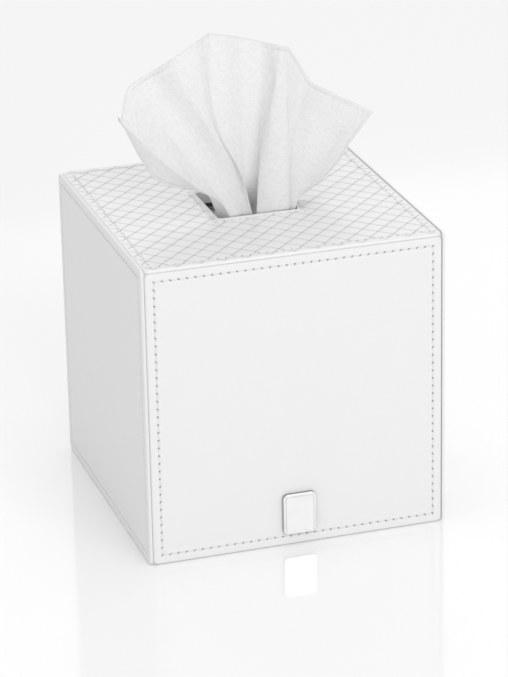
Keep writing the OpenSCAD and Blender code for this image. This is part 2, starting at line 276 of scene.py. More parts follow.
def put(name: str, surface: Surface, material: bpy.types.Material,
        replaces: tuple[str, ...] = (), sharp: float = 40.0) -> bpy.types.Object:
    """Makes a mesh object of a surface, in metres and in its place, and hands it to the frame.

    Args:
        name: the piece's name.
        surface: what it is made of.
        material: its only material.
        replaces: nodes of the part that it stands for.
        sharp: angle in degrees from which an edge between two faces stays sharp.

    Returns:
        The new object, which rides on the part's one body.
    """
    mesh = bpy.data.meshes.new(name)
    corners = np.concatenate([f.ravel() for f in surface.faces])
    counts = np.concatenate([np.full(len(f), f.shape[1]) for f in surface.faces])
    mesh.vertices.add(len(surface.points))
    mesh.vertices.foreach_set("co", (surface.points * MM).astype(np.float32).ravel())
    mesh.loops.add(len(corners))
    mesh.loops.foreach_set("vertex_index", corners.astype(np.int32))
    mesh.polygons.add(len(counts))
    mesh.polygons.foreach_set("loop_start", (np.cumsum(counts) - counts).astype(np.int32))
    mesh.update(calc_edges=True)
    mesh.validate()
    mesh.shade_smooth()
    mesh.set_sharp_from_angle(angle=math.radians(sharp))
    for mark, values in surface.marks.items():
        mesh.attributes.new(mark, "FLOAT", "POINT").data.foreach_set("value", values.astype(np.float32))
    if surface.uv is not None:
        layer = mesh.uv_layers.new(name="along")
        layer.data.foreach_set("uv", surface.uv[corners].astype(np.float32).ravel())
    mesh.materials.append(material)
    piece = bpy.data.objects.new(name, mesh)
    bpy.context.scene.collection.objects.link(piece)
    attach(piece, BODY)
    if replaces:
        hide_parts(*replaces)
    LOG.info("%s: %d points, %d faces", name, len(surface.points), len(counts))
    return piece


# Shader graphs

class Graph:
    """Short ways to place and join shader nodes in one node tree."""

    def __init__(self, tree: bpy.types.NodeTree) -> None:
        """Keeps the tree, which starts empty."""
        self.tree = tree
        self.tree.nodes.clear()

    def add(self, kind: str, inputs: dict[str | int, object] | None = None, **settings: object
            ) -> bpy.types.Node:
        """Places a node.

        Args:
            kind: Blender's name for the node type.
            inputs: each input with the socket to link from, or the value to set, or None to leave it.
            settings: properties of the node.

        Returns:
            The node.
        """
        node = self.tree.nodes.new(kind)
        for name, value in settings.items():
            setattr(node, name, value)
        self.feed(node, inputs or {})
        return node

    def feed(self, node: bpy.types.Node, inputs: dict[str | int, object]) -> None:
        """Links or sets inputs of a node, as add does."""
        for name, value in inputs.items():
            if isinstance(value, Socket):
                self.tree.links.new(value, node.inputs[name])
            elif value is not None:
                node.inputs[name].default_value = value

    def group(self, tree: bpy.types.NodeTree, inputs: dict[str | int, object]) -> bpy.types.Node:
        """Places a node group with its own values."""
        return self.add("ShaderNodeGroup", inputs, node_tree=tree)

    def math(self, operation: str, a: object, b: object = None, c: object = None,
             clamp: bool = False) -> Socket:
        """Places a Math node and gives its result."""
        return self.add("ShaderNodeMath", {0: a, 1: b, 2: c}, operation=operation, use_clamp=clamp).outputs[0]

    def scaled(self, vector: Socket, scale: object) -> Socket:
        """Gives a vector or colour times a number."""
        return self.add("ShaderNodeVectorMath", {0: vector, "Scale": scale}, operation="SCALE").outputs[0]

    def mix(self, share: object, a: object, b: object) -> Socket:
        """Places a Mix node for colours and gives its result."""
        return self.add("ShaderNodeMix", {0: share, 6: a, 7: b}, data_type="RGBA").outputs[2]

    def ramp(self, share: object, low: float, high: float, out_low: float = 0.0,
             out_high: float = 1.0) -> Socket:
        """Places a smooth Map Range node and gives its result."""
        values = dict(enumerate((share, low, high, out_low, out_high)))
        return self.add("ShaderNodeMapRange", values, interpolation_type="SMOOTHSTEP", clamp=True).outputs[0]

    def noise(self, vector: Socket, scale: object, detail: float, roughness: float | None = None,
              stretch: Place | None = None) -> Socket:
        """Gives a noise from 0 to 1.

        Args:
            vector: where it is read.
            scale, detail, roughness: the noise's own values.
            stretch: how much finer it is along each axis, below 1 for longer spots.

        Returns:
            The noise's socket.
        """
        if stretch is not None:
            vector = self.add("ShaderNodeMapping", {"Vector": vector, "Scale": stretch}).outputs[0]
        return self.add("ShaderNodeTexNoise", {"Vector": vector, "Scale": scale, "Detail": detail,
                                               "Roughness": roughness}).outputs["Fac"]


def rgba(colour: Colour) -> tuple[float, float, float, float]:
    """Gives a colour with its alpha of 1."""
    return (*colour, 1.0)


def new_group(name: str, inputs: dict[str, object], outputs: dict[str, str]
              ) -> tuple[Graph, dict[str, Socket], bpy.types.Node]:
    """Starts a shader node group with named inputs and outputs.

    Args:
        name: the group's name.
        inputs: their default values: a number, a colour, or None for a vector.
        outputs: their types.

    Returns:
        Its graph, its inputs' sockets by name, and its output node.
    """
    tree = bpy.data.node_groups.new(name, "ShaderNodeTree")
    for label, value in inputs.items():
        kind = "Vector" if value is None else "Float" if isinstance(value, float) else "Color"
        socket = tree.interface.new_socket(name=label, in_out="INPUT", socket_type=f"NodeSocket{kind}")
        if value is not None:
            socket.default_value = value
    for label, kind in outputs.items():
        tree.interface.new_socket(name=label, in_out="OUTPUT", socket_type=f"NodeSocket{kind}")
    graph = Graph(tree)
    source = graph.add("NodeGroupInput")
    return graph, {label: source.outputs[label] for label in inputs}, graph.add("NodeGroupOutput")


class Effects:
    """The effects that several materials share, each built once as a node group."""

    def __init__(self) -> None:
        """Builds the groups."""
        self.leather = self._leather_grain()
        self.uneven = self._uneven_tone()
        # Painted shade, which the tissue's random mottle uses too.
        self.recess = self._painted_shade_and_mottle_tone()
        self.crepe = self._crepe()

    @staticmethod
    def _leather_grain() -> bpy.types.NodeTree:
        """Pressed leather grain: rounded cells with fine pores between them, as a height."""
        g, source, sink = new_group("leather_grain", {"Vector": None, "Cells": 1600.0, "Pores": 0.35},
                                    {"Height": "Float"})
        bend = g.add("ShaderNodeTexNoise", {"Vector": source["Vector"], "Scale": 500.0, "Detail": 2.0})
        shift = g.scaled(bend.outputs["Color"], 0.0006)
        bent = g.add("ShaderNodeVectorMath", {0: source["Vector"], 1: shift}, operation="ADD")
        cells = g.add("ShaderNodeTexVoronoi", {"Vector": bent.outputs[0], "Scale": source["Cells"]},
                      feature="DISTANCE_TO_EDGE")
        pores = g.math("MULTIPLY", g.noise(source["Vector"], 5200.0, 3.0), source["Pores"])
        g.feed(sink, {"Height": g.math("ADD", g.ramp(cells.outputs["Distance"], 0.0, 0.32), pores)})
        return g.tree

    @staticmethod
    def _uneven_tone() -> bpy.types.NodeTree:
        """Slightly uneven tone of a sheet or coating: soft clouds over its colour."""
        g, source, sink = new_group(
            "uneven_tone", {"Vector": None, "Colour": (1, 1, 1, 1), "Cloud": 40.0, "Amount": 0.02},
            {"Colour": "Color", "Cloud": "Float"})
        cloud = g.noise(source["Vector"], source["Cloud"], 4.0, 0.6)
        level = g.math("MULTIPLY_ADD", g.math("SUBTRACT", cloud, 0.5), source["Amount"], 1.0)
        g.feed(sink, {"Colour": g.scaled(source["Colour"], level), "Cloud": cloud})
        return g.tree

    @staticmethod
    def _painted_shade_and_mottle_tone() -> bpy.types.NodeTree:
        """Painted shade: a darker, greyer tone by a share from 0 to 1. The tissue also uses it for its random
        mottle.
        """
        g, source, sink = new_group(
            "painted_shade_and_mottle_tone", {"Colour": (1, 1, 1, 1), "Recess": 0.0, "Deep": (0.2, 0.2, 0.2, 1)},
            {"Colour": "Color"})
        share = g.math("POWER", source["Recess"], 1.3, clamp=True)
        g.feed(sink, {"Colour": g.mix(share, source["Colour"], source["Deep"])})
        return g.tree

    @staticmethod
    def _crepe() -> bpy.types.NodeTree:
        """Creped tissue: fine ridges across the sheet, broken up by clouds of loose fibres."""
        g, source, sink = new_group("crepe", {"Vector": None, "Ridges": 1500.0},
                                    {"Height": "Float", "Clouds": "Float"})
        ridges = g.noise(source["Vector"], source["Ridges"], 3.0, 0.65, stretch=(0.22, 1.0, 1.0))
        clouds = g.noise(source["Vector"], 620.0, 4.0, 0.7)
        g.feed(sink, {"Height": g.math("MULTIPLY_ADD", clouds, 1.6, ridges), "Clouds": clouds})
        return g.tree


# Finishes

class Finish:
    """One material in the making: its graph, its shader, and its colour and normal so far."""

    def __init__(self, name: str, effects: Effects) -> None:
        """Starts a material with a Principled shader that reads Object coordinates."""
        self.material = bpy.data.materials.new(name)
        self.material.use_nodes = True
        self.effects = effects
        self.g = Graph(self.material.node_tree)
        self.shader = self.g.add("ShaderNodeBsdfPrincipled")
        self.g.add("ShaderNodeOutputMaterial", {"Surface": self.shader.outputs[0]})
        self.place = self.g.add("ShaderNodeTexCoord").outputs["Object"]
        self.colour: Socket | None = None
        self.cloud: Socket | None = None
        self.normal: Socket | None = None

    def tone(self, colour: object, cloud: float, amount: float) -> None:
        """Sets the colour, with soft clouds in it.

        Args:
            colour: the colour, or the socket that gives it.
            cloud: how many clouds there are to a metre, about.
            amount: how much lighter and darker they are.
        """
        base = colour if isinstance(colour, Socket) else rgba(colour)
        given = {"Vector": self.place, "Colour": base, "Cloud": cloud, "Amount": amount}
        tone = self.g.group(self.effects.uneven, given)
        self.colour, self.cloud = tone.outputs["Colour"], tone.outputs["Cloud"]

    def darken(self, share: Socket, deep: Colour) -> None:
        """Turns the colour towards a deep tone, by a share from 0 to 1: painted shade everywhere but in the
        tissue's random mottle.
        """
        given = {"Colour": self.colour, "Recess": share, "Deep": rgba(deep)}
        self.colour = self.g.group(self.effects.recess, given).outputs["Colour"]

    def noise(self, scale: float, detail: float, roughness: float | None = None,
              stretch: Place | None = None) -> Socket:
        """Gives a noise at the piece's own coordinates, as Graph.noise does."""
        return self.g.noise(self.place, scale, detail, roughness, stretch)

    def mark(self, name: str) -> Socket:
        """Gives a mark of the piece's points."""
        return self.g.add("ShaderNodeAttribute", attribute_name=name).outputs["Fac"]

    def along(self) -> Socket:
        """Gives the piece's own uv."""
        return self.g.add("ShaderNodeUVMap", uv_map="along").outputs[0]

    def axis(self, vector: Socket, name: str) -> Socket:
        """Gives one coordinate of a vector."""
        return self.g.add("ShaderNodeSeparateXYZ", {"Vector": vector}).outputs[name]

    def waves(self, turns: Socket, step: float) -> Socket:
        """Gives humps from 0 to 1, one for each step."""
        return self.g.math("ABSOLUTE", self.g.math("SINE", self.g.math("MULTIPLY", turns, math.pi / step)))

    def spread(self, share: Socket, low: float, high: float) -> Socket:
        """Gives the value between low and high at a share."""
        return self.g.math("MULTIPLY_ADD", share, high - low, low)

    def bump(self, height: Socket, depth: float, strength: float = 1.0) -> None:
        """Adds relief: a height of 1 stands for the depth, in metres."""
        self.normal = self.g.add("ShaderNodeBump", {"Height": height, "Distance": depth, "Strength": strength,
                                                    "Normal": self.normal}).outputs[0]

    def done(self, **values: object) -> bpy.types.Material:
        """Gives the material.

        Args:
            values: the shader's other inputs, with underscores for spaces.

        Returns:
            The finished material.
        """
        self.g.feed(self.shader, {"Base Color": self.colour, "Normal": self.normal})
        self.g.feed(self.shader, {name.replace("_", " "): value for name, value in values.items()})
        return self.material

class Palette:
    """Every finish of the cover and its contents, made once. Lengths here are metres."""

    # Colour of the painted shade in needle holes, channels, creases, seams, the opening's sleeve and round
    # the badge.
    PAINTED_SHADE_COLOUR: Colour = (0.10, 0.10, 0.105)

    def __init__(self) -> None:
        """Makes the materials."""
        self.effects = Effects()
        self.leatherette = self._leather("leatherette", (0.84, 0.84, 0.843), 1500.0, 0.46, 1e-5, 0.0)
        self.embossed = self._leather("embossed_leatherette", (0.825, 0.825, 0.828), 1900.0, 0.29, 4e-6, 0.3)
        # The turned rim is the same white leatherette, darker: a painted shaded copy of it.
        self.turned = self._leather("shaded_turned_leatherette", (0.76, 0.76, 0.763), 1500.0, 0.55, 1e-5, 0.0)
        self.thread = self._thread()
        self.fibreboard = self._fibreboard()
        self.badge_metal = self._badge_metal()
        self.badge_enamel = self._badge_enamel()
        self.carton = self._carton_board()
        self.film = self._film()
        self.tissue = self._tissue()
        self.folded = self._folded_tissues()

    def _leather(self, name: str, colour: Colour, cells: float, roughness: float, depth: float, coat: float
                 ) -> bpy.types.Material:
        """White coated fabric with a pressed grain, and painted shade in its holes, creases and seams.

        Args:
            name, colour, roughness: the material's own.
            cells: how fine the grain is.
            depth: how deep the grain is.
            coat: weight of the clear coat.

        Returns:
            The material.
        """
        f = Finish(name, self.effects)
        f.tone(colour, 60.0, 0.018)
        # Painted shade where the piece's mark says: needle holes, channels, creases, seams and the opening's
        # sleeve.
        f.darken(f.mark("recess"), self.PAINTED_SHADE_COLOUR)
        grain = f.g.group(self.effects.leather, {"Vector": f.place, "Cells": cells, "Pores": 0.35})
        f.bump(grain.outputs["Height"], depth)
        worn = f.spread(f.cloud, roughness - 0.05, roughness + 0.05)
        return f.done(Roughness=worn, Coat_Weight=coat, Coat_Roughness=0.2)

    def _thread(self, turn: float = 0.0011) -> bpy.types.Material:
        """Twisted white thread: two plies that wind round each other once in each turn."""
        f = Finish("thread", self.effects)
        along = f.along()
        turns = f.g.math("MULTIPLY", f.axis(along, "X"), 1.0 / turn)
        ply = f.waves(f.g.math("ADD", turns, f.g.math("MULTIPLY", f.axis(along, "Y"), 2.0)), 1.0)
        f.tone((0.82, 0.82, 0.82), 900.0, 0.10)
        # Painted shade in the groove between the two plies.
        f.darken(f.g.ramp(ply, 0.0, 0.35, 0.35, 0.0), (0.35, 0.35, 0.36))
        f.bump(ply, 0.00008)
        return f.done(Roughness=0.62, Sheen_Weight=0.3)

    def _fibreboard(self, margin: float = 0.05 * MM) -> bpy.types.Material:
        """Medium-density fibreboard, raw inside and below, white where the panels are glued on."""
        f = Finish("fibreboard", self.effects)
        strands = f.noise(900.0, 6.0, 0.7, stretch=(1.0, 1.0, 0.35))
        wall = node_box("right_board")[1][0] * MM - margin
        roof = node_box("top_board")[1][2] * MM - margin
        outside = 0.0
        for name, limit in (("X", wall), ("Y", wall), ("Z", roof)):
            beyond = f.g.math("GREATER_THAN", f.g.math("ABSOLUTE", f.axis(f.place, name)), limit)
            outside = f.g.math("MAXIMUM", beyond, outside)
        raw = f.g.mix(f.g.ramp(strands, 0.56, 0.72), rgba((0.46, 0.33, 0.2)), rgba((0.28, 0.18, 0.1)))
        f.tone(f.g.mix(outside, raw, rgba((0.75, 0.75, 0.75))), 25.0, 0.12)
        f.bump(strands, 0.00012)
        return f.done(Roughness=0.85)

    def _badge_metal(self) -> bpy.types.Material:
        """Satin-polished plated metal, faintly brushed along the height of the badge."""
        f = Finish("badge_metal", self.effects)
        brushed = f.noise(9000.0, 2.0, stretch=(1.0, 1.0, 0.03))
        f.tone((0.71, 0.71, 0.72), 260.0, 0.03)
        # Painted shade on the plate's walls, strongest where they meet the panel.
        f.darken(f.mark("recess"), self.PAINTED_SHADE_COLOUR)
        f.bump(brushed, 4e-6)
        return f.done(Metallic=1.0, Roughness=f.spread(brushed, 0.17, 0.27))

    def _badge_enamel(self) -> bpy.types.Material:
        """Silver-white metallic enamel with a soft orange-peel surface under a clear coat."""
        f = Finish("badge_enamel", self.effects)
        peel = f.noise(700.0, 1.0)
        f.tone((0.74, 0.74, 0.745), 220.0, 0.015)
        f.bump(peel, 1e-5)
        return f.done(Roughness=f.spread(peel, 0.2, 0.26), Metallic=0.8, Coat_Weight=0.6, Coat_Roughness=0.08)

    def _carton_board(self) -> bpy.types.Material:
        """Thin carton board, white lined, with the faint flutter of its fibres."""
        f = Finish("carton_board", self.effects)
        fibres = f.noise(1400.0, 5.0, 0.7)
        f.tone((0.6, 0.64, 0.68), 180.0, 0.05)
        f.bump(fibres, 2e-5)
        return f.done(Roughness=f.spread(fibres, 0.5, 0.65))

    def _film(self) -> bpy.types.Material:
        """Thin cloudy film with stretch wrinkles, partly see-through."""
        f = Finish("film", self.effects)
        wrinkles = f.noise(260.0, 3.0, stretch=(1.0, 0.25, 1.0))
        f.tone((0.84, 0.85, 0.86), 120.0, 0.06)
        f.bump(wrinkles, 0.0003)
        return f.done(Roughness=f.spread(wrinkles, 0.25, 0.45), Alpha=f.spread(wrinkles, 0.53, 0.68))

    def _tissue(self) -> bpy.types.Material:
        """Soft two-ply tissue: creped along its own uv, lit through a little, with a pressed hem."""
        f = Finish("tissue", self.effects)
        hem = f.mark("hem")
        crepe = f.g.group(self.effects.crepe, {"Vector": f.along(), "Ridges": 1500.0})
        f.tone((0.905, 0.905, 0.91), 160.0, 0.03)
        # Painted shade along the pressed hem and at the sheet's edges.
        f.darken(f.g.math("MULTIPLY", hem, 0.60), (0.55, 0.55, 0.57))
        f.darken(f.g.ramp(crepe.outputs["Clouds"], 0.36, 0.62, 0.20, 0.0), (0.5, 0.5, 0.52))
        f.bump(crepe.outputs["Height"], 0.00035, 0.9)
        f.bump(hem, -0.0002, 0.8)
        return f.done(Roughness=0.95, Specular_IOR_Level=0.2, Subsurface_Weight=0.6,
                      Subsurface_Radius=(1.0, 1.0, 1.0), Subsurface_Scale=0.002, Sheen_Weight=0.15)

    def _folded_tissues(self, layer: float = 0.0016) -> bpy.types.Material:
        """The block of folded tissues: many thin layers, with painted shade in the line between each and the
        next.
        """
        f = Finish("folded_tissues", self.effects)
        raised = f.g.math("MULTIPLY_ADD", f.noise(60.0, 2.0), 0.0012, f.axis(f.place, "Z"))
        layers = f.waves(raised, layer)
        f.tone((0.84, 0.84, 0.845), 90.0, 0.05)
        # Painted shade in the line between each layer and the next.
        f.darken(f.g.ramp(layers, 0.0, 0.4, 0.5, 0.0), (0.4, 0.4, 0.41))
        f.bump(layers, 0.0004)
        return f.done(Roughness=0.95)


# Sewing

@dataclass
class Seam:
    """One straight row of stitches: how many there are and where the needle went through."""

    length: float
    pitch: float = 3.6

    @property
    def count(self) -> int:
        """Number of stitches, so that a needle hole comes at both ends."""
        return round(self.length / self.pitch)

    @property
    def step(self) -> float:
        """Length from one needle hole to the next."""
        return self.length / self.count

    def phase(self, along: Array) -> Array:
        """Distance of each place along the row, from -length / 2 on, to its nearest needle hole."""
        steps = (along + self.length / 2) / self.step
        return np.abs(steps - np.round(steps)) * self.step


@dataclass
class Stitch:
    """One stitch as a thin closed tube that dips into a needle hole at each end."""

    thread_d: float = 0.62
    rise: float = 0.12
    dip: float = 0.95
    shy: float = 0.30
    slant: float = 0.07
    stations: int = 9
    around: int = 8

    def tube(self, step: float) -> tuple[Array, Array, Array]:
        """Works out one stitch that starts at the origin and runs along X.

        The axis keeps a height just under the leatherette's face and falls with the eighth power
        of the distance from its middle; the slant moves it from one side of the row to the other.

        Args:
            step: length from one needle hole to the next, in millimetres.

        Returns:
            Points of shape (n, 3) with the two end points last, faces of three corners, and uv.
        """
        share = np.linspace(0, 1, self.stations)[:, None]
        swing = 2 * share - 1
        angle = np.linspace(0, 2 * np.pi, self.around, endpoint=False)[None, :]
        radius = self.thread_d / 2 * (1 - 0.22 * swing ** 6)
        x = self.shy + share * (step - 2 * self.shy) + 0 * angle
        y = self.slant * swing * (1 - 0.3 * swing ** 4) + radius * np.cos(angle)
        z = self.rise - self.thread_d / 2 - self.dip * swing ** 8 + radius * np.sin(angle)
        rings = np.stack([x, y, z], -1)
        shell = capped(rings, rings[0].mean(0), rings[-1].mean(0))
        quads, first, last = shell.faces
        faces = np.concatenate([quads[:, [0, 1, 2]], quads[:, [0, 2, 3]], first, last])
        uv = np.stack([x * MM, angle / (2 * np.pi) + 0 * x], -1).reshape(-1, 2)
        ends = [[self.shy * MM, 0.5], [(step - self.shy) * MM, 0.5]]
        return shell.points, faces, np.concatenate([uv, ends])

    def row(self, seam: Seam) -> Surface:
        """Repeats the stitch along a seam that is centred on the origin, along X."""
        points, faces, uv = self.tube(seam.step)
        index = np.arange(seam.count)[:, None, None]
        starts = (index * seam.step - seam.length / 2) * np.array([1.0, 0.0, 0.0])
        every_face = (faces + index * len(points)).reshape(-1, 3)
        return Surface((points + starts).reshape(-1, 3), [every_face], {}, np.tile(uv, (seam.count, 1)))

    def ring(self, width: float, height: float, level: float) -> Surface:
        """Lays four rows around a rectangle that is centred on the origin.

        Args:
            width, height: size of the rectangle of needle holes.
            level: height of the leatherette's face above the panel's back.

        Returns:
            All stitches of the rectangle as one surface.
        """
        rows = []
        for quarter, (length, across) in enumerate([(width, height), (height, width)] * 2):
            turn = turn_z(90 * quarter)
            rows.append(self.row(Seam(length)).moved(turn @ (0, -across / 2, level), turn))
        return rows[0].joined(*rows[1:])


# Leatherette panels

@dataclass
class Panel:
    """A leatherette panel on its back: soft rounded edges, a sewn channel and needle holes.

    Local X is the width, Y the height and Z the way outwards from the wall that it is glued to.
    """

    width: float
    height: float
    thickness: float = SKIN_T
    edge_r: float = 1.1
    corner_r: float = 2.5
    inset: float = 4.1
    channel_d: float = 0.20
    channel_w: float = 0.55
    hole_d: float = 0.75
    hole_r: float = 0.38
    swell: float = 0.06
    swell_at: float = 1.35
    swell_w: float = 0.7
    calm_r: float = 0.9
    per_stitch: int = 8

    @property
    def seams(self) -> tuple[Seam, Seam]:
        """The row along the width and the row along the height."""
        return Seam(self.width - 2 * self.inset), Seam(self.height - 2 * self.inset)

    def level(self, inward: Array) -> Array:
        """Height of the outer face at a distance from the panel's edge: a quarter circle, then flat."""
        reach = np.clip(self.edge_r - inward, 0, self.edge_r)
        return self.thickness - self.swell - self.edge_r + np.sqrt(self.edge_r ** 2 - reach ** 2)

    def beside(self, off: Array) -> Array:
        """Share of the swelling on both sides of a row of stitches, at a distance across it."""
        return bell(np.abs(off) - self.swell_at, self.swell_w)

    def sewn(self, inward: Array, to_hole: Array) -> tuple[Array, Array]:
        """Change of height along a row of stitches, and the painted shade at each place.

        The thread presses a channel, the leatherette swells beside it between two needle holes, and
        each needle hole is a narrow pit.

        Args:
            inward: distance across the row, in millimetres.
            to_hole: distance along the row to the nearest needle hole.

        Returns:
            The change of height, and the painted shade mark from 0 to 1: dark in each needle hole, faint
            along the channel.
        """
        pit = bell(to_hole, self.hole_r) * bell(inward, self.hole_r)
        channel = bell(inward, self.channel_w)
        beside = self.beside(inward) * (1 - 0.6 * bell(to_hole, self.calm_r))
        change = self.swell * beside - self.channel_d * channel - self.hole_d * pit
        # Painted shade: dark in each needle hole, faint along the channel.
        return change, np.clip(1.05 * pit + 0.03 * channel, 0, 1)

    def rings(self) -> Array:
        """Distances of the nested rings of points from the panel's edge, close together at the seam."""
        edge = self.edge_r * (1 - np.cos(np.linspace(0, np.pi / 2, 7)))
        to_seam = np.array([1.5, 2.0, 2.5, 2.9, 3.2, 3.45, 3.65, 3.8, 3.95])
        beyond = np.array([0, 0.15, 0.3, 0.45, 0.65, 0.9, 1.25, 1.65, 2.1, 2.8, 4.2, 8.0, 16.0, 30.0])
        return np.concatenate([edge, to_seam, self.inset + beyond])

    def outline(self, inward: Array) -> tuple[Array, Array, Array]:
        """Nested rings of points around the panel, which start at its lower left corner.

        Each side is cut into the same shares on every ring, so that the shares fall on the needle
        holes of the sewn ring.

        Args:
            inward: distances of the rings from the edge.

        Returns:
            x, y and the distance to the nearest needle hole, each of shape (rings, points).
        """
        wide, high = self.seams
        across = np.linspace(-1, 1, wide.count * self.per_stitch, endpoint=False)
        along = np.linspace(-1, 1, high.count * self.per_stitch, endpoint=False)
        one_w, one_h = np.ones_like(across), np.ones_like(along)
        u = np.concatenate([across, one_h, -across, -one_h])[None]
        v = np.concatenate([-one_w, along, one_w, -along])[None]
        half_w = self.width / 2 - inward[:, None]
        half_h = self.height / 2 - inward[:, None]
        sides = [wide.phase(across * wide.length / 2), high.phase(along * high.length / 2)]
        to_hole = np.concatenate(sides * 2)
        radius = np.maximum(self.corner_r - inward[:, None], 0) + 0 * u
        x, y = rounded_corners(u * half_w, v * half_h, half_w + 0 * u, half_h + 0 * u, radius)
        return x, y, to_hole[None] + 0 * x

    def surface(self) -> Surface:
        """Works out the closed shell: back, side wall, rounded edge, sewn border and flat middle."""
        inward = self.rings()
        x, y, to_hole = self.outline(inward)
        z = self.level(inward)[:, None] + 0 * x
        change, recess = self.sewn(inward[:, None] - self.inset, to_hole)
        blend = np.clip(inward[:, None] - self.edge_r, 0, 1)
        rings = np.stack([x, y, z + change * blend], -1)
        foot = rings[:1] * np.array([1, 1, 0])
        shell = capped(np.concatenate([foot, rings]), (0, 0, 0), (0, 0, rings[-1, :, 2].mean()))
        recess = recess * blend
        shell.marks["recess"] = np.concatenate([recess[0], recess.ravel(), [0, 0]])
        return shell


@dataclass
class WallPanels:
    """The four plain panels around the cover, each with its stitches, and where they stand."""

    palette: Palette
    stitch: Stitch = field(default_factory=Stitch)

    def __post_init__(self) -> None:
        """Takes the reach of the walls behind the panels from the part."""
        self.wall = node_box("right_board")[1]

    def placed(self, local: Surface, side: Side, height: float) -> Surface:
        """Stands a panel or its stitches up against its wall.

        Args:
            local: surface with its back at z = 0, centred on its middle.
            side: the wall that it belongs to.
            height: the panel's height, which puts its lower edge on z = 0.

        Returns:
            The surface in its place.
        """
        reach = self.wall[0] if side in (Side.LEFT, Side.RIGHT) else self.wall[1]
        return local.moved((0, -reach, height / 2), UPRIGHT).moved((0, 0, 0), turn_z(side.value))

    def build(self) -> None:
        """Makes each panel and its stitches."""
        for side in Side:
            name = side.name.lower()
            low, high = node_box(f"{name}_cover")
            width, height = max((high - low)[:2]), (high - low)[2]
            panel = Panel(width, height)
            put(f"{name}_panel", self.placed(panel.surface(), side, height), self.palette.leatherette,
                (f"{name}_cover",))
            wide, tall = panel.seams
            sewing = self.stitch.ring(wide.length, tall.length, panel.thickness - panel.swell)
            put(f"{name}_stitches", self.placed(sewing, side, height), self.palette.thread,
                (f"{name}_stitching",))


